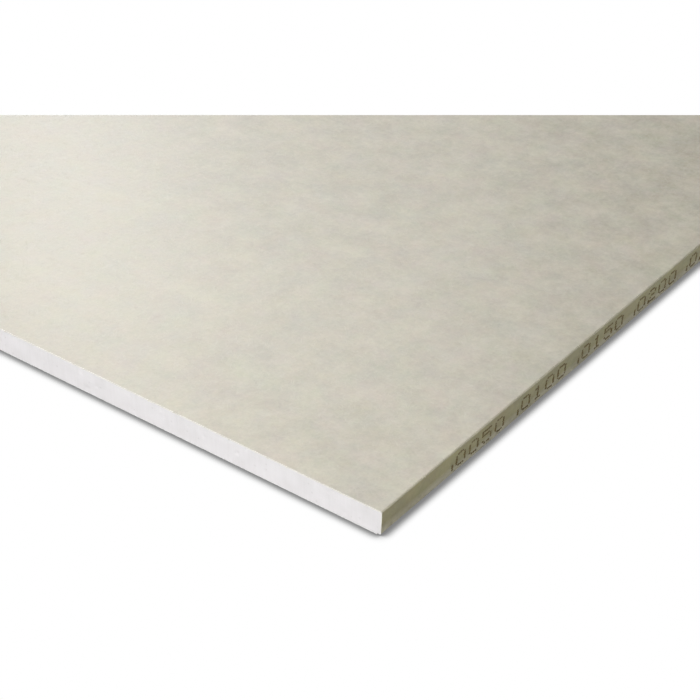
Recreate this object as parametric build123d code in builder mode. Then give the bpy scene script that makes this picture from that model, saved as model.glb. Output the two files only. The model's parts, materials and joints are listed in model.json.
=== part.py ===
from build123d import *
from math import atan, cos, degrees, tan
import os

# A sheet of gypsum board with full, square long edges, lying flat with its face up.
# X runs across the width, Y along the length and Z through the thickness.
# The origin is at the middle of the underside. All sizes are in millimetres.

# Overall size of the sheet
sheet_width = 1250.0
sheet_length = 2000.0
sheet_thickness = 12.5

# Long edges: square to look at, but the back is a little narrower than the face, so that two
# sheets close up at the face when they are butted together
edge_undercut = 0.5

# Face liner: one web over the face, down both long edges and lapped under the core
face_liner_thickness = 0.6
fold_inner_radius = 0.1
lap_width = 25.0

# Back liner: a second web, glued over the laps and stopping short of the long edges
back_liner_thickness = 0.6
back_liner_margin = 2.0

# Sizes that follow from the ones above
folded_height = sheet_thickness - back_liner_thickness
folded_middle = back_liner_thickness + folded_height / 2
edge_lean = atan(edge_undercut / folded_height)
arris_radius = fold_inner_radius + face_liner_thickness
arris_setback = arris_radius * (tan(edge_lean) + 1 / cos(edge_lean) - 1)
between_laps = sheet_width - 2 * (edge_undercut + lap_width)
back_liner_width = sheet_width - 2 * (edge_undercut + back_liner_margin)

os.makedirs("parts", exist_ok=True)


# Outline of the folded face liner: wider at the face than at the back, with round arrises.
# Rounding a leaning edge sets it back a little, so the sharp outline starts that much wider.
with BuildSketch() as folded_outline:
    with Locations((0, folded_middle)):
        Trapezoid(sheet_width + 2 * arris_setback, folded_height, 90 + degrees(edge_lean))
    fillet(folded_outline.vertices(), radius=arris_radius)


# Gypsum core: cast between the liners, so it fills the fold, one liner thickness inside it.
# Between the two laps it is one liner thickness deeper, down to the back liner.
with BuildPart() as gypsum_core:
    with BuildSketch(Plane.XZ) as core_section:
        add(folded_outline.sketch)
        offset(amount=-face_liner_thickness, mode=Mode.REPLACE)
        with Locations((0, back_liner_thickness)):
            Rectangle(
                between_laps,
                folded_height / 2,
                align=(Align.CENTER, Align.MIN),
            )
    extrude(amount=sheet_length / 2, both=True)

gypsum_core.part.label = "gypsum_core"
export_step(gypsum_core.part, "parts/gypsum_core.step")


# Face liner: its section is the folded outline less the core.
with BuildPart() as face_liner:
    with BuildSketch(Plane.XZ) as face_liner_section:
        add(folded_outline.sketch)
        add(core_section.sketch_local, mode=Mode.SUBTRACT)
    extrude(amount=sheet_length / 2, both=True)

face_liner.part.label = "face_liner"
export_step(face_liner.part, "parts/face_liner.step")


# Back liner: a flat web that covers the underside of the core and both laps.
with BuildPart() as back_liner:
    with BuildSketch(Plane.XZ) as back_liner_section:
        Rectangle(back_liner_width, back_liner_thickness, align=(Align.CENTER, Align.MIN))
    extrude(amount=sheet_length / 2, both=True)

back_liner.part.label = "back_liner"
export_step(back_liner.part, "parts/back_liner.step")
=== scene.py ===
# %% [markdown]
# A sheet of drywall lies flat with its face up, and the camera looks down on one corner of it.
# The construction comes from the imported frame: a gypsum core, a face liner that is folded round
# both long edges, and a back liner. Here each of them gets its finish, in metres, in that frame.

# %% Load the frame and measure the sheet
import json
import math

import bpy
from mathutils import Matrix, Vector


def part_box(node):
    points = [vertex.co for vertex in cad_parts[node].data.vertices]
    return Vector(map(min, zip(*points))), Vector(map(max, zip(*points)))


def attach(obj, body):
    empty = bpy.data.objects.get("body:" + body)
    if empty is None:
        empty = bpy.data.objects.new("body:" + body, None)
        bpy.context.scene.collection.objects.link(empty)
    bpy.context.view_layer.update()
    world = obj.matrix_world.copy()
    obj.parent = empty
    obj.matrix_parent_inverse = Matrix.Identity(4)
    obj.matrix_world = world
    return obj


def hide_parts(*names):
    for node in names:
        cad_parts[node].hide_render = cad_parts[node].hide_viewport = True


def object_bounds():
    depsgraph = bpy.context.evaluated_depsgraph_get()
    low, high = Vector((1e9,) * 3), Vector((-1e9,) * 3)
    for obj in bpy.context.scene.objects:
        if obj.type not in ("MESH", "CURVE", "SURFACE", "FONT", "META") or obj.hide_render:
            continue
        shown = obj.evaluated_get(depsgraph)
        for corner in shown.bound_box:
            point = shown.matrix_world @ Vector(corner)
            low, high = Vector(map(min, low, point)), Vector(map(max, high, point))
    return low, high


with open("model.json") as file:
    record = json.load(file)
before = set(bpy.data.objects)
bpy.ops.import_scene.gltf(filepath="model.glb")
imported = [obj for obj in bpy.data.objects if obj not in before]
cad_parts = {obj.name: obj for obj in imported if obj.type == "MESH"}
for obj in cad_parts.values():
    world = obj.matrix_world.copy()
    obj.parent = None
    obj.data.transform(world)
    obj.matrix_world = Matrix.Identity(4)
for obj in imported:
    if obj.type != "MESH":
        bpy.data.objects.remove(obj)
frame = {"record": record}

MM = 0.001

cad_low, cad_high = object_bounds()
core_low, core_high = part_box("gypsum_core")
back_low, back_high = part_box("back_liner")

SHEET_LENGTH = cad_high[1] - cad_low[1]
HALF_WIDTH = cad_high[0]
HALF_LENGTH = cad_high[1]
TOP = cad_high[2]
FACE_LINER = cad_high[2] - core_high[2]
BACK_LINER = back_high[2] - back_low[2]
FOLD_RADIUS = 0.1 * MM
ARRIS_RADIUS = FOLD_RADIUS + FACE_LINER
LAP_WIDTH = 25 * MM

mounts = {mount["name"]: mount for mount in frame["record"]["mounts"]}
right_edge = mounts["long_edge_right"]
edge_point = Vector(right_edge["pos_m"])
edge_normal = Vector(right_edge["axis"]).normalized()
EDGE_LEAN = math.degrees(math.atan2(-edge_normal.z, edge_normal.x))
LAP_START = HALF_WIDTH - (TOP - BACK_LINER) * math.tan(math.radians(EDGE_LEAN)) - LAP_WIDTH

print("sheet", round(2 * HALF_WIDTH, 4), "x", round(SHEET_LENGTH, 4), "x", round(TOP, 4), "m")
print("liners", round(FACE_LINER / MM, 2), "and", round(BACK_LINER / MM, 2), "mm")
print("the long edges lean in by", round(EDGE_LEAN, 2), "degrees")

# %% [markdown]
# The photograph shows only a corner, with the cut end on the left and a wrapped long edge on the
# right. The slopes of those four edges give the lens, the turn and the tilt of the camera, and the
# sheet's thickness in pixels gives its distance. The camera is placed so that the near top corner
# falls on its own pixel. The picture is cropped along a level line, so the camera's far limit ends
# the view on that row: only this camera has the limit, and the sheet itself is whole.

# %% Camera
PICTURE = 700
SENSOR = 36.0
LENS = 98.29
CAMERA_YAW = math.radians(37.479)
CAMERA_PITCH = math.radians(34.388)
CORNER_COLUMN = 382.1
CORNER_ROW = 512.58
CORNER_DEPTH = 0.7662
CROP_ROW = 115
NEAR_LIMIT = 0.05

pixels_per_unit = PICTURE * LENS / SENSOR
camera_right = Vector((math.cos(CAMERA_YAW), math.sin(CAMERA_YAW), 0))
camera_back = Vector((
    math.sin(CAMERA_YAW) * math.cos(CAMERA_PITCH),
    -math.cos(CAMERA_YAW) * math.cos(CAMERA_PITCH),
    math.sin(CAMERA_PITCH),
))
camera_up = camera_back.cross(camera_right)
near_corner = Vector((HALF_WIDTH, -HALF_LENGTH, TOP))
corner_across = (CORNER_COLUMN - PICTURE / 2) / pixels_per_unit * CORNER_DEPTH
corner_below = (CORNER_ROW - PICTURE / 2) / pixels_per_unit * CORNER_DEPTH

camera_data = bpy.data.cameras.new("camera")
camera_data.lens = LENS
camera_data.sensor_width = SENSOR
camera = bpy.data.objects.new("camera", camera_data)
bpy.context.scene.collection.objects.link(camera)
bpy.context.scene.camera = camera
camera.location = (
    near_corner - corner_across * camera_right + corner_below * camera_up + CORNER_DEPTH * camera_back
)
camera.rotation_euler = Matrix((camera_right, camera_up, camera_back)).transposed().to_euler()

crop_slope = (PICTURE / 2 - CROP_ROW) / pixels_per_unit
camera_height = camera.location.z - TOP
camera_data.clip_start = NEAR_LIMIT
camera_data.clip_end = camera_height / (math.sin(CAMERA_PITCH) - crop_slope * math.cos(CAMERA_PITCH))
print("camera", [round(v, 3) for v in camera.location], "view ends at", round(camera_data.clip_end, 3), "m")

# %% [markdown]
# Small helpers keep the node code readable. `grow` adds a node, sets its properties and fills its
# inputs: a value that is a socket is linked, and any other value is typed in. The others are one
# kind of node each, in one call. They work in shader trees and in Geometry Nodes trees.

# %% Node helpers
def fill(tree, socket, value):
    if isinstance(value, bpy.types.NodeSocket):
        tree.links.new(value, socket)
    else:
        socket.default_value = value


def grow(tree, kind, inputs=None, **properties):
    node = tree.nodes.new(kind)
    for name, value in properties.items():
        setattr(node, name, value)
    for name, value in (inputs or {}).items():
        fill(tree, node.inputs[name], value)
    return node


def calculate(tree, operation, first, second=None, third=None):
    node = grow(tree, "ShaderNodeMath", operation=operation)
    for index, value in enumerate((first, second, third)):
        if value is not None:
            fill(tree, node.inputs[index], value)
    return node.outputs[0]


def multiply(tree, first, second):
    return calculate(tree, "MULTIPLY", first, second)


def weighted_sum(tree, *parts):
    """The sum of several values, each times its weight: a part is (value, weight)."""
    total = 0.0
    for value, weight in parts:
        total = calculate(tree, "MULTIPLY_ADD", value, weight, total)
    return total


def change_vector(tree, operation, vector, by):
    """A Vector Math node: SCALE takes a number, the other operations take a second vector."""
    second = "Scale" if operation == "SCALE" else 1
    return grow(tree, "ShaderNodeVectorMath", {0: vector, second: by}, operation=operation).outputs[0]


def split_vector(tree, vector):
    return grow(tree, "ShaderNodeSeparateXYZ", {"Vector": vector}).outputs


def noise(tree, place, scale, detail, roughness=0.5, distortion=0.0):
    return grow(tree, "ShaderNodeTexNoise", {
        "Vector": place, "Scale": scale, "Detail": detail, "Roughness": roughness, "Distortion": distortion,
    }).outputs


def remap(tree, value, low, high, to_low=0.0, to_high=1.0):
    node = grow(tree, "ShaderNodeMapRange", {
        "Value": value, "From Min": low, "From Max": high, "To Min": to_low, "To Max": to_high,
    })
    return node.outputs["Result"]


def blend_colours(tree, factor, first, second, blend="MIX"):
    node = grow(tree, "ShaderNodeMix", data_type="RGBA", blend_type=blend)
    fill(tree, node.inputs[0], factor)
    fill(tree, node.inputs[6], first)
    fill(tree, node.inputs[7], second)
    return node.outputs[2]


def new_group(name, inputs, outputs):
    """A shader node group with named sockets: inputs are (name, kind, default), outputs (name, kind)."""
    tree = bpy.data.node_groups.new(name, "ShaderNodeTree")
    for label, kind, default in inputs:
        socket = tree.interface.new_socket(label, in_out="INPUT", socket_type=kind)
        if default is not None:
            socket.default_value = default
    for label, kind in outputs:
        tree.interface.new_socket(label, in_out="OUTPUT", socket_type=kind)
    return tree, tree.nodes.new("NodeGroupInput").outputs, tree.nodes.new("NodeGroupOutput").inputs


FLOAT = "NodeSocketFloat"
VECTOR = "NodeSocketVector"
COLOUR = "NodeSocketColor"

# %% [markdown]
# A drywall liner is felted fibre. Seen close, short curved fibres cross each other, the web is a
# little denser in some places than in others, and the light catches a fine tooth. One group makes
# all of that, so that the face and the back can share it at different scales. Long fibres are the
# level lines of a smooth noise: they wander and cross as real strands do, at no cost in geometry.
# Three sets of them lie over each other, each with its own turn and width.

# %% Felted fibre group
STRAND_STRETCH = (1.0, 0.45, 1.0)
STRAND_WANDER = 0.8
STRAND_SETS = ((0.4, 0.035), (1.5, 0.03), (2.5, 0.03))
GAP_SCALE = 0.7
HUE_SHIFT = (3.0, 5.0, 7.0)


def fibre_strands(tree, place, scale, turn, width):
    """A mask of thin wandering strands: the level lines of one noise, broken up by another."""
    turned = grow(tree, "ShaderNodeVectorRotate", {"Vector": place, "Angle": turn}, rotation_type="Z_AXIS")
    stretched = change_vector(tree, "MULTIPLY", turned.outputs[0], STRAND_STRETCH)
    wander = noise(tree, stretched, scale, 1.0, distortion=STRAND_WANDER)["Fac"]
    level = calculate(tree, "ABSOLUTE", calculate(tree, "SUBTRACT", wander, 0.5))
    strand = remap(tree, level, width, 0.0)
    gaps = noise(tree, turned.outputs[0], multiply(tree, scale, GAP_SCALE), 0.0)["Fac"]
    return multiply(tree, strand, remap(tree, gaps, 0.45, 0.6))


felt, felt_in, felt_out = new_group(
    "felted_fibre",
    [("Place", VECTOR, None), ("Cloud scale", FLOAT, 7.0), ("Mottle scale", FLOAT, 60.0),
     ("Fibre scale", FLOAT, 260.0), ("Tooth scale", FLOAT, 1500.0)],
    [("Cloud", FLOAT), ("Mottle", FLOAT), ("Hue", COLOUR),
     ("Fibre", FLOAT), ("Tooth", FLOAT), ("Height", FLOAT)],
)
felt_place = felt_in["Place"]
cloud = noise(felt, felt_place, felt_in["Cloud scale"], 4.0, roughness=0.55)["Fac"]
mottle = noise(felt, felt_place, felt_in["Mottle scale"], 4.0, roughness=0.85)["Fac"]
hue_place = change_vector(felt, "ADD", felt_place, HUE_SHIFT)
hue = noise(felt, hue_place, felt_in["Mottle scale"], 4.0, roughness=0.8)["Color"]
tooth = noise(felt, felt_place, felt_in["Tooth scale"], 2.0, roughness=0.6)["Fac"]
strands = 0.0
for turn, width in STRAND_SETS:
    more = fibre_strands(felt, felt_place, felt_in["Fibre scale"], turn, width)
    strands = calculate(felt, "MAXIMUM", strands, more)
relief = weighted_sum(felt, (strands, 0.35), (mottle, 0.6), (tooth, 0.3))
for label, value in (
    ("Cloud", cloud), ("Mottle", mottle), ("Hue", hue),
    ("Fibre", strands), ("Tooth", tooth), ("Height", relief),
):
    felt.links.new(value, felt_out[label])
print("felted_fibre group has", len(felt.nodes), "nodes")

# %% [markdown]
# Recycled fibre carries a few dark specks, and cast gypsum a few fine pores. Both are small round
# dots, far apart and of uneven size, so both come from one group: the cells of a Voronoi texture,
# of which only a share holds a dot.

# %% Scattered dots group
SMALLEST_DOT = 0.35
DOT_CORE = 0.5

dots, dots_in, dots_out = new_group(
    "scattered_dots",
    [("Place", VECTOR, None), ("Dots per metre", FLOAT, 40.0),
     ("Share", FLOAT, 0.3), ("Radius", FLOAT, 0.05)],
    [("Mask", FLOAT)],
)
cells = grow(dots, "ShaderNodeTexVoronoi", {"Vector": dots_in["Place"], "Scale": dots_in["Dots per metre"]})
chance = grow(dots, "ShaderNodeSeparateColor", {"Color": cells.outputs["Color"]})
present = calculate(dots, "LESS_THAN", chance.outputs[0], dots_in["Share"])
reach = multiply(dots, dots_in["Radius"], remap(dots, chance.outputs[1], 0.0, 1.0, SMALLEST_DOT, 1.0))
inside = remap(dots, cells.outputs["Distance"], reach, multiply(dots, reach, DOT_CORE))
dots.links.new(multiply(dots, present, inside), dots_out["Mask"])
print("scattered_dots group has", len(dots.nodes), "nodes")

# %% [markdown]
# Every material starts the same way: a Principled shader whose plain numbers are set on its own
# sockets, and the Object coordinates that all patterns read, so that a pattern stays on the piece.

# %% Material helpers
def new_material(name, roughness, specular):
    material = bpy.data.materials.new(name)
    material.use_nodes = True
    tree = material.node_tree
    shader = tree.nodes["Principled BSDF"]
    shader.inputs["Roughness"].default_value = roughness
    shader.inputs["Specular IOR Level"].default_value = specular
    place = tree.nodes.new("ShaderNodeTexCoord").outputs["Object"]
    return material, tree, shader.inputs, place


def use_group(tree, group, **inputs):
    node = tree.nodes.new("ShaderNodeGroup")
    node.node_tree = group
    for name, value in inputs.items():
        fill(tree, node.inputs[name.replace("_", " ")], value)
    return node.outputs


def add_bump(tree, shader, height, distance):
    bump = grow(tree, "ShaderNodeBump", {"Height": height, "Distance": distance})
    tree.links.new(bump.outputs[0], shader["Normal"])


def shade_between(tree, factor, dark, light):
    return blend_colours(tree, factor, (*dark, 1), (*light, 1))


def lay_over(tree, colour, mask, paint, strength=1.0, blend="MIX"):
    """The colour with a paint laid over it where the mask is, at some strength."""
    factor = mask if strength == 1.0 else multiply(tree, mask, strength)
    return blend_colours(tree, factor, colour, (*paint, 1), blend)

# %% [markdown]
# The face liner is a greyish beige web, matt but with a faint sheen at a low angle. Its colour
# drifts in clouds a few centimetres wide, with finer mottling and pale fibres over them. Where it
# turns down over the long edges it is stained by the forming belt and looks khaki. The bend itself
# is painted paler as a highlight, and the foot of the edge is painted paler as light bounced up
# from the floor. All three depend on the height above the floor.

# %% Face liner material
FACE_DARK = (0.316, 0.290, 0.219)
FACE_LIGHT = (0.470, 0.436, 0.346)
FACE_FIBRE = (0.54, 0.515, 0.43)
EDGE_STAIN = (0.94, 0.92, 0.53)
# The pale colour of the painted highlight on the bend and of the painted bounce light at the foot.
PAINTED_EDGE_LIGHT = (0.67, 0.63, 0.465)
SAW_DUST = (0.78, 0.77, 0.75)
SPECK = (0.16, 0.12, 0.08)
HUE_DRIFT = 0.035
SIDE_TOP = TOP - ARRIS_RADIUS
STAIN_START = TOP - 0.45 * MM
# Heights where the painted highlight on the bend and the painted bounce light at the foot begin and are
# full.
BEND_SIDE = TOP - 0.4 * MM
BEND_START = TOP - 0.03 * MM
BEND_FULL_HIGHLIGHT = TOP - 0.15 * MM
FOOT_START = 5.6 * MM
FOOT_FULL_LIGHT = 2.6 * MM
DUST_REACH = 0.45 * MM
FACE_RELIEF = 0.05 * MM

face_material, tree, shader, place = new_material("face_liner_felt", 0.5, 0.5)
web = use_group(tree, felt, Place=place)
tone = weighted_sum(tree, (web["Mottle"], 2.8), (web["Cloud"], 0.3), (web["Tooth"], 0.4))
colour = shade_between(tree, remap(tree, tone, 1.25, 2.25), FACE_DARK, FACE_LIGHT)
colour = blend_colours(tree, HUE_DRIFT, colour, web["Hue"], "LINEAR_LIGHT")
colour = lay_over(tree, colour, web["Fibre"], FACE_FIBRE, 0.2)
across = split_vector(tree, place)
height = across["Z"]
turned_down = remap(tree, height, STAIN_START, SIDE_TOP)
colour = lay_over(tree, colour, turned_down, EDGE_STAIN, blend="MULTIPLY")
# The bend over the arris is painted paler: a painted highlight.
above_side = remap(tree, height, SIDE_TOP, BEND_SIDE)
on_bend = multiply(tree, above_side, remap(tree, height, BEND_START, BEND_FULL_HIGHLIGHT))
# The foot of the edge is painted paler, more where the mottling is lighter: painted light bounced up from
# the floor.
foot_light_patches = remap(tree, web["Mottle"], 0.35, 0.55, 0.45, 1.0)
on_foot = multiply(tree, remap(tree, height, FOOT_START, FOOT_FULL_LIGHT), foot_light_patches)
# Both painted lights are laid on in one pale colour.
painted_light_mask = calculate(tree, "MAXIMUM", multiply(tree, on_bend, 0.7), on_foot)
colour = lay_over(tree, colour, painted_light_mask, PAINTED_EDGE_LIGHT)
specks = use_group(tree, dots, Place=place, Dots_per_metre=28.0, Share=0.12, Radius=0.025)
colour = lay_over(tree, colour, specks["Mask"], SPECK, 0.7)
from_centre = calculate(tree, "ABSOLUTE", across["Y"])
near_saw = remap(tree, from_centre, HALF_LENGTH - DUST_REACH, HALF_LENGTH)
dusty = multiply(tree, near_saw, remap(tree, web["Tooth"], 0.35, 0.6, 0.2, 0.7))
colour = lay_over(tree, colour, dusty, SAW_DUST)
tree.links.new(colour, shader["Base Color"])
tree.links.new(remap(tree, web["Mottle"], 0.3, 0.7, 0.43, 0.49), shader["Roughness"])
add_bump(tree, shader, web["Height"], FACE_RELIEF)
print("face liner material:", len(tree.nodes), "nodes")

# %% [markdown]
# The back liner is the same kind of web from plainer stock: greyer, darker, with a coarser tooth.

# %% Back liner material
BACK_DARK = (0.27, 0.255, 0.20)
BACK_LIGHT = (0.37, 0.35, 0.285)
BACK_RELIEF = 0.18 * MM
BACK_SCALES = {"Cloud_scale": 5.0, "Mottle_scale": 80.0, "Fibre_scale": 190.0, "Tooth_scale": 1100.0}

back_material, tree, shader, place = new_material("back_liner_felt", 0.7, 0.4)
web = use_group(tree, felt, Place=place, **BACK_SCALES)
tone = weighted_sum(tree, (web["Mottle"], 0.8), (web["Cloud"], 0.9))
colour = shade_between(tree, remap(tree, tone, 0.5, 1.2), BACK_DARK, BACK_LIGHT)
colour = lay_over(tree, colour, web["Fibre"], FACE_FIBRE, 0.3)
tree.links.new(colour, shader["Base Color"])
tree.links.new(remap(tree, web["Mottle"], 0.2, 0.8, 0.64, 0.78), shader["Roughness"])
add_bump(tree, shader, web["Height"], BACK_RELIEF)
print("back liner material:", len(tree.nodes), "nodes")

# %% [markdown]
# A sawn liner shows its inside: clean, pale fibre, lighter than the face. It is a cream line along
# the top of the cut end, and the same line turns down the corner beside the long edge. At the foot
# of the end, gypsum dust hides it.

# %% Cut liner material
CUT_DARK = (0.75, 0.73, 0.68)
CUT_LIGHT = (0.85, 0.83, 0.785)
CUT_DUST = (0.76, 0.745, 0.745)
DUST_START = 3 * MM
DUST_FULL = 1.2 * MM
CUT_RELIEF = 0.08 * MM

cut_material, tree, shader, place = new_material("liner_cut_fibre", 0.8, 0.3)
web = use_group(tree, felt, Place=place, Mottle_scale=500.0, Fibre_scale=900.0, Tooth_scale=4000.0)
colour = shade_between(tree, remap(tree, web["Mottle"], 0.3, 0.7), CUT_DARK, CUT_LIGHT)
dusty = remap(tree, split_vector(tree, place)["Z"], DUST_START, DUST_FULL)
colour = lay_over(tree, colour, dusty, CUT_DUST)
tree.links.new(colour, shader["Base Color"])
tree.links.new(remap(tree, web["Tooth"], 0.3, 0.7, 0.72, 0.86), shader["Roughness"])
add_bump(tree, shader, web["Height"], CUT_RELIEF)
print("cut liner material:", len(tree.nodes), "nodes")

# %% [markdown]
# Set gypsum is a clean, slightly warm white and quite matt. The saw leaves fine streaks through the
# thickness, and the foamed mix leaves pores, which are coloured a touch greyer.

# %% Gypsum material
GYPSUM_DARK = (0.727, 0.708, 0.708)
GYPSUM_LIGHT = (0.815, 0.796, 0.803)
PORE = (0.55, 0.54, 0.53)
STREAK_STRETCH = (1.0, 1.0, 0.06)
STREAK_SCALE = 700.0
PATCH_SCALE = 90.0
GRAIN_SCALE = 2500.0
GYPSUM_RELIEF = 0.06 * MM

gypsum_material, tree, shader, place = new_material("set_gypsum", 0.85, 0.3)
streak_place = change_vector(tree, "MULTIPLY", place, STREAK_STRETCH)
streaks = noise(tree, streak_place, STREAK_SCALE, 2.0, roughness=0.6)["Fac"]
patches = noise(tree, place, PATCH_SCALE, 3.0)["Fac"]
grain = noise(tree, place, GRAIN_SCALE, 2.0)["Fac"]
tone = weighted_sum(tree, (streaks, 0.4), (patches, 0.8), (grain, 0.3))
colour = shade_between(tree, remap(tree, tone, 0.55, 1.0), GYPSUM_DARK, GYPSUM_LIGHT)
pores = use_group(tree, dots, Place=place, Dots_per_metre=450.0, Share=0.35, Radius=0.28)
colour = lay_over(tree, colour, pores["Mask"], PORE, 0.35)
tree.links.new(colour, shader["Base Color"])
tree.links.new(remap(tree, grain, 0.3, 0.7, 0.8, 0.9), shader["Roughness"])
relief = weighted_sum(tree, (grain, 0.5), (streaks, 0.5), (pores["Mask"], -0.8))
add_bump(tree, shader, relief, GYPSUM_RELIEF)
print("gypsum material:", len(tree.nodes), "nodes")

# %% [markdown]
# Loose fibres are pale strands that catch the light, and printer's ink soaks into the felt, so it is
# dark brown rather than black, and patchy where a fibre kept it off.

# %% Loose fibre and ink materials
FIBRE_DARK = (0.62, 0.58, 0.44)
FIBRE_LIGHT = (0.84, 0.80, 0.66)
FIBRE_SCALE = 400.0
INK_DARK = (0.125, 0.085, 0.022)
INK_LIGHT = (0.24, 0.18, 0.07)
INK_RELIEF = 0.1 * MM

fibre_material, tree, shader, place = new_material("loose_fibre", 0.5, 0.5)
variation = noise(tree, place, FIBRE_SCALE, 2.0)["Fac"]
colour = shade_between(tree, remap(tree, variation, 0.3, 0.7), FIBRE_DARK, FIBRE_LIGHT)
tree.links.new(colour, shader["Base Color"])
tree.links.new(remap(tree, variation, 0.3, 0.7, 0.42, 0.6), shader["Roughness"])

ink_material, tree, shader, place = new_material("soaked_ink", 0.7, 0.3)
web = use_group(tree, felt, Place=place, Mottle_scale=700.0)
tone = weighted_sum(tree, (web["Fibre"], 0.4), (web["Mottle"], 1.0))
colour = shade_between(tree, remap(tree, tone, 0.35, 0.9), INK_DARK, INK_LIGHT)
tree.links.new(colour, shader["Base Color"])
tree.links.new(remap(tree, web["Mottle"], 0.3, 0.7, 0.62, 0.8), shader["Roughness"])
add_bump(tree, shader, web["Height"], INK_RELIEF)
print("loose fibre and ink materials made")

# %% [markdown]
# Geometry Nodes trees are built by the script too. `new_geometry_tree` gives a tree its named
# inputs, `run_tree` puts it on an object, types the values in by each socket's identifier before
# the object is first evaluated, and turns the result into a plain mesh object at the origin.

# %% Geometry Nodes helpers
GEOMETRY = "NodeSocketGeometry"
INTEGER = "NodeSocketInt"
MATERIAL = "NodeSocketMaterial"
SHARP_ANGLE = math.radians(50)
LOOKS_ALONG = 0.7


def new_geometry_tree(name, inputs):
    tree = bpy.data.node_groups.new(name, "GeometryNodeTree")
    tree.interface.new_socket("Geometry", in_out="INPUT", socket_type=GEOMETRY)
    for label, kind, default in inputs:
        socket = tree.interface.new_socket(label, in_out="INPUT", socket_type=kind)
        if default is not None:
            socket.default_value = default
    tree.interface.new_socket("Geometry", in_out="OUTPUT", socket_type=GEOMETRY)
    return tree, tree.nodes.new("NodeGroupInput").outputs, tree.nodes.new("NodeGroupOutput").inputs


def move_points(tree, geometry, **where):
    """A Set Position node: Position puts the points somewhere, Offset shifts them."""
    return grow(tree, "GeometryNodeSetPosition", {"Geometry": geometry, **where}).outputs[0]


def random_number(tree, seed, low, high):
    node = grow(tree, "FunctionNodeRandomValue", {"Seed": seed}, data_type="FLOAT")
    node.inputs[2].default_value = low
    node.inputs[3].default_value = high
    return node.outputs[1]


def end_tree(tree, geometry, material, group_out):
    """Every tree ends the same way: instances become real mesh, and the material is set."""
    real = grow(tree, "GeometryNodeRealizeInstances", {"Geometry": geometry})
    painted = grow(tree, "GeometryNodeSetMaterial", {"Geometry": real.outputs[0], "Material": material})
    tree.links.new(painted.outputs[0], group_out["Geometry"])


def new_object(name, vertices, edges=(), faces=()):
    mesh = bpy.data.meshes.new(name)
    mesh.from_pydata([tuple(v) for v in vertices], list(edges), list(faces))
    made = bpy.data.objects.new(name, mesh)
    bpy.context.scene.collection.objects.link(made)
    return made


def run_tree(name, source, tree, values, finish_with=None):
    """The source object's mesh goes through the tree and comes back as a new plain object."""
    modifier = source.modifiers.new("shape", "NODES")
    modifier.node_group = tree
    sockets = {item.name: item.identifier for item in tree.interface.items_tree if item.in_out == "INPUT"}
    for label, value in values.items():
        modifier[sockets[label]] = value
    if finish_with:
        finish_with(source)
    evaluated = source.evaluated_get(bpy.context.evaluated_depsgraph_get())
    mesh = bpy.data.meshes.new_from_object(evaluated)
    mesh.name = name
    bpy.data.objects.remove(source)
    mesh.set_sharp_from_angle(angle=SHARP_ANGLE)
    piece = bpy.data.objects.new(name, mesh)
    bpy.context.scene.collection.objects.link(piece)
    triangles = sum(len(face.vertices) - 2 for face in mesh.polygons)
    print(name, "has", triangles, "triangles")
    return piece


def paint_cut_ends(piece, skin, cut):
    """The faces that the saw left, which look along the sheet, get the cut material."""
    piece.data.materials.clear()
    piece.data.materials.append(skin)
    piece.data.materials.append(cut)
    for face in piece.data.polygons:
        face.material_index = 1 if abs(face.normal.y) > LOOKS_ALONG else 0

# %% [markdown]
# Both liners are flat webs that follow a path across the sheet and run straight along it. So one
# tree makes both: it takes the path as a row of points, lays a grid with one column for each point,
# moves the columns to the path and spreads the rows along the length. A slow noise makes the web a
# little uneven, as felt is. The path decides whether the web is folded or flat.

# %% Web tree
WAVE_SCALE = 45.0
WAVE_TOP = 0.75

web_tree, web_in, web_out = new_geometry_tree("liner_web", [
    ("Length", FLOAT, 2.0), ("Rows", INTEGER, 400), ("Unevenness", FLOAT, 0.0), ("Material", MATERIAL, None),
])
path_size = grow(web_tree, "GeometryNodeAttributeDomainSize", {"Geometry": web_in["Geometry"]})
grid = grow(web_tree, "GeometryNodeMeshGrid", {
    "Vertices X": path_size.outputs["Point Count"], "Vertices Y": web_in["Rows"],
})
index = grow(web_tree, "GeometryNodeInputIndex").outputs[0]
column = calculate(web_tree, "FLOOR", calculate(web_tree, "DIVIDE", index, web_in["Rows"]))
row = calculate(web_tree, "MODULO", index, web_in["Rows"])
here = grow(web_tree, "GeometryNodeInputPosition").outputs[0]
on_path = grow(web_tree, "GeometryNodeSampleIndex", {
    "Geometry": web_in["Geometry"], "Value": here, "Index": column,
}, data_type="FLOAT_VECTOR", domain="POINT")
path_place = split_vector(web_tree, on_path.outputs[0])
last_row = calculate(web_tree, "SUBTRACT", web_in["Rows"], 1.0)
along = calculate(web_tree, "SUBTRACT", calculate(web_tree, "DIVIDE", row, last_row), 0.5)
laid = grow(web_tree, "ShaderNodeCombineXYZ", {
    "X": path_place["X"], "Y": multiply(web_tree, along, web_in["Length"]), "Z": path_place["Z"],
})
web_shape = move_points(web_tree, grid.outputs["Mesh"], Position=laid.outputs[0])
waves = noise(web_tree, here, WAVE_SCALE, 3.0)["Fac"]
inwards = multiply(web_tree, calculate(web_tree, "SUBTRACT", waves, WAVE_TOP), web_in["Unevenness"])
facing = grow(web_tree, "GeometryNodeInputNormal").outputs[0]
uneven = move_points(web_tree, web_shape, Offset=change_vector(web_tree, "SCALE", facing, inwards))
smooth = grow(web_tree, "GeometryNodeSetShadeSmooth", {"Geometry": uneven})
end_tree(web_tree, smooth.outputs[0], web_in["Material"], web_out)
print("liner_web tree has", len(web_tree.nodes), "nodes")

# %% [markdown]
# The face liner's path starts under the board, at the inner end of the left lap, goes up and over,
# and ends under the right side. Run that way, the web's faces point outwards. Its four bends are
# round, and the face and both sides have a point close to each bend, which keeps the bend's smooth
# shading off the flat. A Solidify modifier gives the web its thickness, inwards, and the rim that the
# saw left at each end shows cut fibre.

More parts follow.
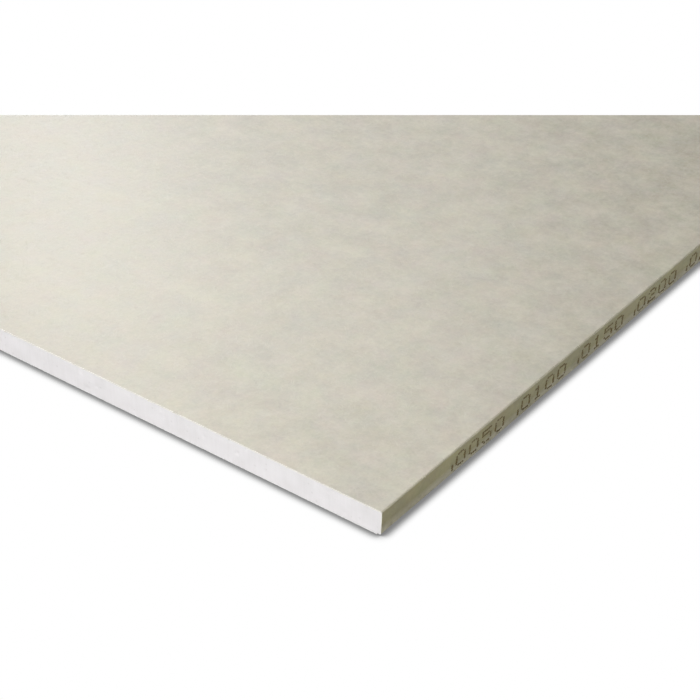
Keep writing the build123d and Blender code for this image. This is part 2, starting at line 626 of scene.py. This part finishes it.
# %% Face liner
ARC_STEPS = 7
SIDE_STEPS = 3
FACE_STEPS = 36
BEND_GUARD = 0.1 * MM
ROW_STEP = 5 * MM
WEB_UNEVENNESS = 0.10 * MM


def arc(centre_x, centre_z, radius, start, end, steps):
    angles = [math.radians(start + (end - start) * i / steps) for i in range(steps + 1)]
    return [Vector((centre_x + radius * math.cos(a), 0, centre_z + radius * math.sin(a))) for a in angles]


def straight(start, end, steps):
    """The points between two ends, without the ends, and with a guard point beside each of them."""
    guard = BEND_GUARD / (end - start).length
    shares = [guard, *(i / steps for i in range(1, steps)), 1 - guard]
    return [start.lerp(end, share) for share in shares]


def edge_x(z):
    """How far out the leaning long edge lies at height z."""
    return edge_point.x - (z - edge_point.z) * edge_normal.z / edge_normal.x


def fold_centre(z):
    """The middle of a fold at height z, which lies the arris radius inside the leaning edge."""
    return edge_x(z) - ARRIS_RADIUS / edge_normal.x


high_z = TOP - ARRIS_RADIUS
low_z = BACK_LINER + ARRIS_RADIUS
high_x = fold_centre(high_z)
low_x = fold_centre(low_z)
right_high = arc(high_x, high_z, ARRIS_RADIUS, 90, -EDGE_LEAN, ARC_STEPS)
right_low = arc(low_x, low_z, ARRIS_RADIUS, -EDGE_LEAN, -90, ARC_STEPS)
right_lap = Vector((LAP_START, 0, BACK_LINER))
right_side = [*right_high, *straight(right_high[-1], right_low[0], SIDE_STEPS), *right_low, right_lap]
left_side = [Vector((-p.x, 0, p.z)) for p in reversed(right_side)]
face_path = left_side + straight(left_side[-1], right_side[0], FACE_STEPS) + right_side


def thicken(thickness):
    def add(source):
        solid = source.modifiers.new("thickness", "SOLIDIFY")
        solid.thickness = thickness
        solid.offset = -1
        solid.use_even_offset = True
    return add


def chain(points):
    return [(i, i + 1) for i in range(len(points) - 1)]


rows = round(SHEET_LENGTH / ROW_STEP) + 1
path = new_object("face_path", face_path, chain(face_path))
face_piece = run_tree("face_liner_web", path, web_tree, {
    "Length": SHEET_LENGTH, "Rows": rows, "Unevenness": WEB_UNEVENNESS, "Material": face_material,
}, thicken(FACE_LINER))
paint_cut_ends(face_piece, face_material, cut_material)
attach(face_piece, "root")
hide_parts("face_liner")

# %% [markdown]
# The back liner's path is a straight line under the board. It runs from right to left, so that the
# web's outer side points down and its thickness grows up to the laps.

# %% Back liner
BACK_STEPS = 40
BACK_ROWS = 81
back_half = back_high[0]
back_ends = [Vector((back_half, 0, 0)), Vector((-back_half, 0, 0))]
back_path = [back_ends[0], *straight(*back_ends, BACK_STEPS), back_ends[1]]
path = new_object("back_path", back_path, chain(back_path))
back_piece = run_tree("back_liner_web", path, web_tree, {
    "Length": SHEET_LENGTH, "Rows": BACK_ROWS, "Unevenness": 0.0, "Material": back_material,
}, thicken(BACK_LINER))
paint_cut_ends(back_piece, back_material, cut_material)
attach(back_piece, "root")
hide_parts("back_liner")

# %% [markdown]
# The core shows only at its two sawn ends, so that is where its mesh is fine. Each end is a grid
# that follows the core's outline: every column runs from a point on the lower outline to one on the
# upper, through the folds at the long edges and the step beside each lap. The points inside the
# outline carry a mark, so that the saw's relief fades out where the liners begin.

# %% Gypsum core mesh
END_STEP = 0.6 * MM
END_ROWS = 18
FOLD_COLUMNS = 5
LAP_STEP = 0.1 * MM


def outer_columns():
    """Pairs of a lower and an upper outline point, from the middle of the sheet to its right edge."""
    core_bottom = core_low[2]
    core_top = core_high[2]
    lap_top = core_bottom + FACE_LINER
    deep_end = LAP_START - LAP_STEP
    deep_steps = round(deep_end / END_STEP)
    pairs = []
    for i in range(deep_steps + 1):
        x = deep_end * i / deep_steps
        pairs.append((Vector((x, 0, core_bottom)), Vector((x, 0, core_top))))
    lap_steps = round((low_x - LAP_START) / END_STEP)
    for i in range(lap_steps):
        low = LAP_START + (low_x - LAP_START) * i / lap_steps
        high = LAP_START + (high_x - LAP_START) * i / lap_steps
        pairs.append((Vector((low, 0, lap_top)), Vector((high, 0, core_top))))
    low_fold = arc(low_x, low_z, FOLD_RADIUS, -90, -EDGE_LEAN, FOLD_COLUMNS)
    high_fold = arc(high_x, high_z, FOLD_RADIUS, 90, -EDGE_LEAN, FOLD_COLUMNS)
    return pairs + list(zip(low_fold, high_fold))


right_columns = outer_columns()
left_columns = [(Vector((-a.x, 0, a.z)), Vector((-b.x, 0, b.z))) for a, b in reversed(right_columns[1:])]
columns = left_columns + right_columns
last = len(columns) - 1
end_points = []
marks = []
for i, (low, high) in enumerate(columns):
    for j in range(END_ROWS + 1):
        end_points.append(low.lerp(high, j / END_ROWS))
        marks.append(0.0 if i in (0, last) or j in (0, END_ROWS) else 1.0)

per_end = len(end_points)
per_column = END_ROWS + 1
core_points = [Vector((p.x, y, p.z)) for y in (-HALF_LENGTH, HALF_LENGTH) for p in end_points]
core_faces = []
for i in range(last):
    for j in range(END_ROWS):
        a = i * per_column + j
        near = (a, a + per_column, a + per_column + 1, a + 1)
        core_faces += [near, tuple(per_end + k for k in reversed(near))]

bottom = [i * per_column for i in range(last + 1)]
top = [i + END_ROWS for i in bottom]
right = [last * per_column + j for j in range(per_column)]
left = list(range(per_column))
outline = bottom + right[1:] + top[-2::-1] + left[-2:0:-1]
for a, b in zip(outline, outline[1:] + outline[:1]):
    core_faces.append((b, a, per_end + a, per_end + b))

core_source = new_object("core_source", core_points, faces=core_faces)
inside_mark = core_source.data.attributes.new("inside", "FLOAT", "POINT")
inside_mark.data.foreach_set("value", marks + marks)
print("core ends have", len(columns), "columns of", per_column, "points")

# %% [markdown]
# A saw leaves shallow ridges through the thickness and drags out a crumb here and there. The tree
# moves only the marked points, and only inwards, so the end never grows past its real length.

# %% Sawn end tree
RIDGE_STRETCH = (1.0, 1.0, 0.12)

saw_tree, saw_in, saw_out = new_geometry_tree("sawn_end", [
    ("Ridge depth", FLOAT, 0.0), ("Ridges per metre", FLOAT, 0.0), ("Crumb depth", FLOAT, 0.0),
    ("Crumbs per metre", FLOAT, 0.0), ("Crumb share", FLOAT, 0.0), ("Material", MATERIAL, None),
])
here = grow(saw_tree, "GeometryNodeInputPosition").outputs[0]
along_ridge = change_vector(saw_tree, "MULTIPLY", here, RIDGE_STRETCH)
ridges = noise(saw_tree, along_ridge, saw_in["Ridges per metre"], 2.0)["Fac"]
crumbs = grow(saw_tree, "ShaderNodeTexVoronoi", {"Vector": here, "Scale": saw_in["Crumbs per metre"]})
chance = split_vector(saw_tree, crumbs.outputs["Color"])["X"]
pulled = calculate(saw_tree, "LESS_THAN", chance, saw_in["Crumb share"])
bowl = remap(saw_tree, crumbs.outputs["Distance"], 0.55, 0.1)
crumb = multiply(saw_tree, multiply(saw_tree, pulled, bowl), saw_in["Crumb depth"])
depth = calculate(saw_tree, "MULTIPLY_ADD", ridges, saw_in["Ridge depth"], crumb)
mark = grow(saw_tree, "GeometryNodeInputNamedAttribute", {"Name": "inside"}, data_type="FLOAT").outputs[0]
side = calculate(saw_tree, "SIGN", split_vector(saw_tree, here)["Y"])
inwards = multiply(saw_tree, multiply(saw_tree, depth, mark), side)
push = grow(saw_tree, "ShaderNodeCombineXYZ", {"Y": multiply(saw_tree, inwards, -1.0)})
sawn = move_points(saw_tree, saw_in["Geometry"], Offset=push.outputs[0])
smooth = grow(saw_tree, "GeometryNodeSetShadeSmooth", {"Geometry": sawn})
end_tree(saw_tree, smooth.outputs[0], saw_in["Material"], saw_out)

core_piece = run_tree("gypsum_core_sawn", core_source, saw_tree, {
    "Ridge depth": 0.10 * MM, "Ridges per metre": 420.0, "Crumb depth": 0.25 * MM,
    "Crumbs per metre": 330.0, "Crumb share": 0.10, "Material": gypsum_material,
})
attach(core_piece, "root")
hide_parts("gypsum_core")

# %% [markdown]
# Felt is never quite smooth. Where the liner is bent over the long edges, fibre ends stand up and
# catch the light as pale flecks, and the saw frays the liner along the cut ends. One tree does
# both: it takes a narrow strip of the surface, scatters points on it and puts a bent strand on each.

# %% Strand tree
STRAND_SEGMENTS = 4
STRAND_SIDES = 4
TIP_LIFT = 0.6
STRAND_SIZES = (0.45, 1.35)

strand_tree, strand_in, strand_out = new_geometry_tree("loose_strands", [
    ("Strands per square metre", FLOAT, 0.0), ("Strand length", FLOAT, 0.0), ("Strand width", FLOAT, 0.0),
    ("Lift", FLOAT, 0.0), ("Seed", INTEGER, 0), ("Material", MATERIAL, None),
])
lift = strand_in["Lift"]
strand_seed = strand_in["Seed"]
spots = grow(strand_tree, "GeometryNodeDistributePointsOnFaces", {
    "Mesh": strand_in["Geometry"], "Density": strand_in["Strands per square metre"], "Seed": strand_seed,
})
half_long = multiply(strand_tree, strand_in["Strand length"], 0.5)
root_end = grow(strand_tree, "ShaderNodeCombineXYZ", {"X": multiply(strand_tree, half_long, -1.0)})
crest = grow(strand_tree, "ShaderNodeCombineXYZ", {"Y": multiply(strand_tree, half_long, 0.5), "Z": lift})
tip = grow(strand_tree, "ShaderNodeCombineXYZ", {"X": half_long, "Z": multiply(strand_tree, lift, TIP_LIFT)})
bow = grow(strand_tree, "GeometryNodeCurveQuadraticBezier", {
    "Resolution": STRAND_SEGMENTS,
    "Start": root_end.outputs[0], "Middle": crest.outputs[0], "End": tip.outputs[0],
})
round_section = grow(strand_tree, "GeometryNodeCurvePrimitiveCircle", {
    "Resolution": STRAND_SIDES, "Radius": multiply(strand_tree, strand_in["Strand width"], 0.5),
})
strand = grow(strand_tree, "GeometryNodeCurveToMesh", {
    "Curve": bow.outputs[0], "Profile Curve": round_section.outputs[0], "Fill Caps": True,
})
spin = random_number(strand_tree, strand_seed, 0.0, math.tau)
spun = grow(strand_tree, "FunctionNodeAxisAngleToRotation", {"Axis": (0, 0, 1), "Angle": spin})
turned = grow(strand_tree, "FunctionNodeRotateRotation", {
    "Rotation": spots.outputs["Rotation"], "Rotate By": spun.outputs[0],
}, rotation_space="LOCAL")
size_seed = calculate(strand_tree, "ADD", strand_seed, 1.0)
placed = grow(strand_tree, "GeometryNodeInstanceOnPoints", {
    "Points": spots.outputs["Points"], "Instance": strand.outputs[0],
    "Rotation": turned.outputs[0], "Scale": random_number(strand_tree, size_seed, *STRAND_SIZES),
})
end_tree(strand_tree, placed.outputs[0], strand_in["Material"], strand_out)
print("loose_strands tree has", len(strand_tree.nodes), "nodes")

# %% [markdown]
# The strips that the strands grow on are the bends over the two long edges, and the band along the
# top of each cut end.

# %% Loose strands
STRAND_ARC_STEPS = 5
BAND_MARGIN = 0.05 * MM


def strip(name, lines):
    """A surface between lines of points: each line has the same number of points."""
    count = len(lines[0])
    points = [p for line in lines for p in line]
    faces = [
        (r * count + i, r * count + i + 1, (r + 1) * count + i + 1, (r + 1) * count + i)
        for r in range(len(lines) - 1) for i in range(count - 1)
    ]
    return new_object(name, points, faces=faces)


def run_lengthwise(points):
    """Two lines, one at each end of the sheet, through the same points of a section."""
    return [[Vector((p.x, y, p.z)) for p in points] for y in (-HALF_LENGTH, HALF_LENGTH)]


bend_strips = []
for sign in (1, -1):
    bend = [Vector((sign * p.x, 0, p.z)) for p in right_high[:STRAND_ARC_STEPS + 1]]
    lines = run_lengthwise(bend)
    bend_strips.append(strip("bend_strip", lines if sign > 0 else [line[::-1] for line in lines]))

end_strips = []
for y in (-HALF_LENGTH, HALF_LENGTH):
    heights = (TOP - FACE_LINER, TOP - BAND_MARGIN)
    lines = [[Vector((-high_x, y, z)), Vector((high_x, y, z))] for z in heights]
    end_strips.append(strip("end_strip", lines if y < 0 else [line[::-1] for line in lines]))


def join_meshes(name, sources):
    """One object with the faces of several, which are removed."""
    points = []
    faces = []
    for source in sources:
        start = len(points)
        points += [v.co.copy() for v in source.data.vertices]
        faces += [tuple(start + v for v in face.vertices) for face in source.data.polygons]
        bpy.data.objects.remove(source)
    return new_object(name, points, faces=faces)


bend_strands = run_tree("bend_strands", join_meshes("bend_strips", bend_strips), strand_tree, {
    "Strands per square metre": 300000.0, "Strand length": 0.8 * MM, "Strand width": 0.13 * MM,
    "Lift": 0.10 * MM, "Seed": 11, "Material": fibre_material,
})
end_strands = run_tree("cut_end_strands", join_meshes("end_strips", end_strips), strand_tree, {
    "Strands per square metre": 520000.0, "Strand length": 0.9 * MM, "Strand width": 0.12 * MM,
    "Lift": 0.10 * MM, "Seed": 23, "Material": fibre_material,
})
for piece in (bend_strands, end_strands):
    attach(piece, "root")

# %% [markdown]
# The long edge carries a printed line. Here it is a plain length scale: a short tick every five
# centimetres, with its distance from the end in millimetres beside it, always in four digits. An
# ink jet prints in dots, so the numbers are made of dots too: seven high and five across, stretched
# along the moving board.

# %% Length scale
DOT_ROWS = 7
DOT_HIGH = 1.02 * MM
DOT_WIDE = 1.5 * MM
DIGIT_PITCH = 9.8 * MM
PRINT_BASE = 3.1 * MM
NUMBER_STEP = 50 * MM
NUMBER_DIGITS = 4
TICK_DOTS = 3
TICK_GAP = 2 * DOT_WIDE
DIGITS = {
    "0": "01110 10001 10001 10001 10001 10001 01110",
    "1": "00100 01100 00100 00100 00100 00100 01110",
    "2": "01110 10001 00001 00110 01000 10000 11111",
    "3": "11110 00001 00001 01110 00001 00001 11110",
    "4": "00010 00110 01010 10010 11111 00010 00010",
    "5": "11111 10000 11110 00001 00001 10001 01110",
    "6": "00110 01000 10000 11110 10001 10001 01110",
    "7": "11111 00001 00010 00100 01000 01000 01000",
    "8": "01110 10001 10001 01110 10001 10001 01110",
    "9": "01110 10001 10001 01111 00001 00010 01100",
}


def digit_dots(digit, start):
    """Where one digit's dots lie along the edge and up it."""
    for r, line in enumerate(DIGITS[digit].split()):
        for c, inked in enumerate(line):
            if inked == "1":
                yield start + c * DOT_WIDE, PRINT_BASE + (DOT_ROWS - 1 - r) * DOT_HIGH


scale_dots = []
for step in range(1, round(SHEET_LENGTH / NUMBER_STEP)):
    y = -HALF_LENGTH + step * NUMBER_STEP
    scale_dots += [(y, PRINT_BASE + r * DOT_HIGH) for r in range(TICK_DOTS)]
    number = str(round(step * NUMBER_STEP / MM)).zfill(NUMBER_DIGITS)
    for i, digit in enumerate(number):
        scale_dots += digit_dots(digit, y + TICK_GAP + i * DIGIT_PITCH)
print("the printed scale has", len(scale_dots), "dots")

# %% [markdown]
# The dots are one flat drop of ink, placed on each point by Geometry Nodes. Each drop gets a
# slightly different size and place, as on felt that drinks unevenly.

# %% Ink tree
DROP_SIDES = 8
DROP_SIZES = (0.75, 1.15)

ink_tree, ink_in, ink_out = new_geometry_tree("ink_drops", [
    ("Drop width", FLOAT, 0.0), ("Drop height", FLOAT, 0.0), ("Film", FLOAT, 0.0),
    ("Scatter", FLOAT, 0.0), ("Seed", INTEGER, 0), ("Material", MATERIAL, None),
])
drop = grow(ink_tree, "GeometryNodeMeshCylinder", {"Vertices": DROP_SIDES, "Radius": 0.5, "Depth": 1.0})
film_size = grow(ink_tree, "ShaderNodeCombineXYZ", {
    "X": ink_in["Drop height"], "Y": ink_in["Drop width"], "Z": ink_in["Film"],
})
flat_drop = grow(ink_tree, "GeometryNodeTransform", {
    "Geometry": drop.outputs["Mesh"], "Scale": film_size.outputs[0],
})
upright = grow(ink_tree, "GeometryNodeTransform", {
    "Geometry": flat_drop.outputs[0], "Rotation": (0, math.radians(90 + EDGE_LEAN), 0),
})
jitter = grow(ink_tree, "FunctionNodeRandomValue", {"Seed": ink_in["Seed"]}, data_type="FLOAT_VECTOR")
jitter.inputs[0].default_value = (0, -1, -1)
jitter.inputs[1].default_value = (0, 1, 1)
strayed = change_vector(ink_tree, "SCALE", jitter.outputs[0], ink_in["Scatter"])
moved = move_points(ink_tree, ink_in["Geometry"], Offset=strayed)
size_seed = calculate(ink_tree, "ADD", ink_in["Seed"], 1.0)
drops = grow(ink_tree, "GeometryNodeInstanceOnPoints", {
    "Points": moved, "Instance": upright.outputs[0],
    "Scale": random_number(ink_tree, size_seed, *DROP_SIZES),
})
end_tree(ink_tree, drops.outputs[0], ink_in["Material"], ink_out)

ink_source = new_object("ink_points", [(edge_x(z), y, z) for y, z in scale_dots])
ink_piece = run_tree("printed_scale", ink_source, ink_tree, {
    "Drop width": 1.55 * MM, "Drop height": 1.1 * MM, "Film": 0.06 * MM, "Scatter": 0.12 * MM,
    "Seed": 31, "Material": ink_material,
})
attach(ink_piece, "root")

# %% [markdown]
# The floor is a plain plane that looks white and keeps the sheet's narrow contact shadow: ambient
# occlusion darkens it only where the sheet stands over it or close to it. For the light that bounces
# off it, the floor is a pale matt grey.

# %% Floor
FLOOR_SIZE = 12.0
FLOOR_DROP = 0.1 * MM
FLOOR_GREY = 0.85
SHADE_REACH = 5.7 * MM
SHADE_DEEPEST = 0.23
SHADE_SAMPLES = 24


def seen_directly(tree):
    """1 for a ray from the camera, off a glossy surface or through a clear one, and 0 for others."""
    rays = grow(tree, "ShaderNodeLightPath").outputs
    seen = calculate(tree, "MAXIMUM", rays["Is Camera Ray"], rays["Is Glossy Ray"])
    return calculate(tree, "MAXIMUM", seen, rays["Is Transmission Ray"])


half_floor = FLOOR_SIZE / 2
floor_corners = [
    (-half_floor, -half_floor, 0), (half_floor, -half_floor, 0),
    (half_floor, half_floor, 0), (-half_floor, half_floor, 0),
]
floor = new_object("floor", floor_corners, faces=[(0, 1, 2, 3)])
floor.location.z = -FLOOR_DROP

floor_material = bpy.data.materials.new("pale_floor")
floor_material.use_nodes = True
tree = floor_material.node_tree
tree.nodes.clear()
shade = grow(tree, "ShaderNodeAmbientOcclusion", {"Distance": SHADE_REACH}, samples=SHADE_SAMPLES)
open_sky = grow(tree, "ShaderNodeMapRange", {
    "Value": shade.outputs["AO"], "From Min": 0.5, "From Max": 1.0, "To Min": SHADE_DEEPEST, "To Max": 1.0,
}, interpolation_type="SMOOTHSTEP")
white = blend_colours(tree, open_sky.outputs["Result"], (0, 0, 0, 1), (1, 1, 1, 1))
grey = grow(tree, "ShaderNodeBsdfDiffuse", {"Color": (FLOOR_GREY, FLOOR_GREY, FLOOR_GREY, 1)})
bright = grow(tree, "ShaderNodeEmission", {"Color": white})
mixed = grow(tree, "ShaderNodeMixShader", {0: seen_directly(tree), 1: grey.outputs[0], 2: bright.outputs[0]})
grow(tree, "ShaderNodeOutputMaterial", {"Surface": mixed.outputs[0]})
floor.data.materials.append(floor_material)
print("the floor's shadow reaches", round(SHADE_REACH / MM, 1), "mm")

# %% [markdown]
# The world is white where it is seen, and gives the sheet hardly any light of its own. Colours are
# shown plainly, without a film look.

# %% World
AMBIENT = 0.02

world = bpy.data.worlds.new("studio")
bpy.context.scene.world = world
world.use_nodes = True
tree = world.node_tree
tree.nodes.clear()
ambient = grow(tree, "ShaderNodeBackground", {"Color": (1, 1, 1, 1), "Strength": AMBIENT})
backdrop = grow(tree, "ShaderNodeBackground", {"Color": (1, 1, 1, 1), "Strength": 1.0})
mixed = grow(tree, "ShaderNodeMixShader", {
    0: seen_directly(tree), 1: ambient.outputs[0], 2: backdrop.outputs[0],
})
grow(tree, "ShaderNodeOutputWorld", {"Surface": mixed.outputs[0]})
bpy.context.scene.view_settings.view_transform = "Standard"
print("ambient light", AMBIENT, "of the white backdrop")

# %% [markdown]
# A soft box near the corner lights the cut end, and two more, from the far left, put a faint sheen
# on the felt. Three narrow beams light what the camera doesn't see: the far part of the face, the
# far end and the left half of the near end. A last, very weak one evens out the long edge. Angles
# are in degrees, and an azimuth turns from the sheet's length towards its right side.

# %% Lamps
FRONT_CORNER = (0.62, -1.0, 0)
LIT_PLACE = (0.45, -0.75, 0)
FAR_PLACE = (0, 0.5, 0)
FAR_END = (0, 1.0, 0)
LEFT_END = (-0.4, -1.0, 0)
LONG_EDGE = (0.625, -0.34, 0)


def softbox(name, target, azimuth, elevation, distance, size, power, spread=180):
    """A rectangular lamp that looks at its target from an azimuth, an elevation and a distance."""
    turn = math.radians(azimuth)
    rise = math.radians(elevation)
    way = Vector((math.sin(turn) * math.cos(rise), math.cos(turn) * math.cos(rise), math.sin(rise)))
    place = Vector(target) + distance * way
    lamp = bpy.data.lights.new(name, "AREA")
    lamp.shape = "RECTANGLE"
    lamp.size = size[0]
    lamp.size_y = size[1]
    lamp.energy = power
    lamp.spread = math.radians(spread)
    box = bpy.data.objects.new(name, lamp)
    bpy.context.scene.collection.objects.link(box)
    box.location = place
    box.rotation_euler = (place - Vector(target)).to_track_quat("Z", "Y").to_euler()
    box.visible_camera = False
    print("lamp", name, power, "W")


softbox("key", FRONT_CORNER, 185, 50, 1.0, size=(0.5, 0.5), power=9.9)
softbox("low_sheen", LIT_PLACE, -55, 34, 2.0, size=(0.35, 0.35), power=17)
softbox("high_sheen", LIT_PLACE, -35, 42, 2.0, size=(0.35, 0.35), power=9.7)
softbox("far_fill", FAR_PLACE, 0, 90, 1.2, size=(1.2, 1.2), power=2.4, spread=60)
softbox("far_end_fill", FAR_END, 55, 35, 1.6, size=(1.2, 0.3), power=3.1, spread=50)
softbox("left_end_fill", LEFT_END, 185, 40, 1.2, size=(0.4, 0.3), power=0.5, spread=40)
softbox("long_edge_fill", LONG_EDGE, 90, 15, 1.2, size=(0.6, 0.3), power=0.15, spread=50)
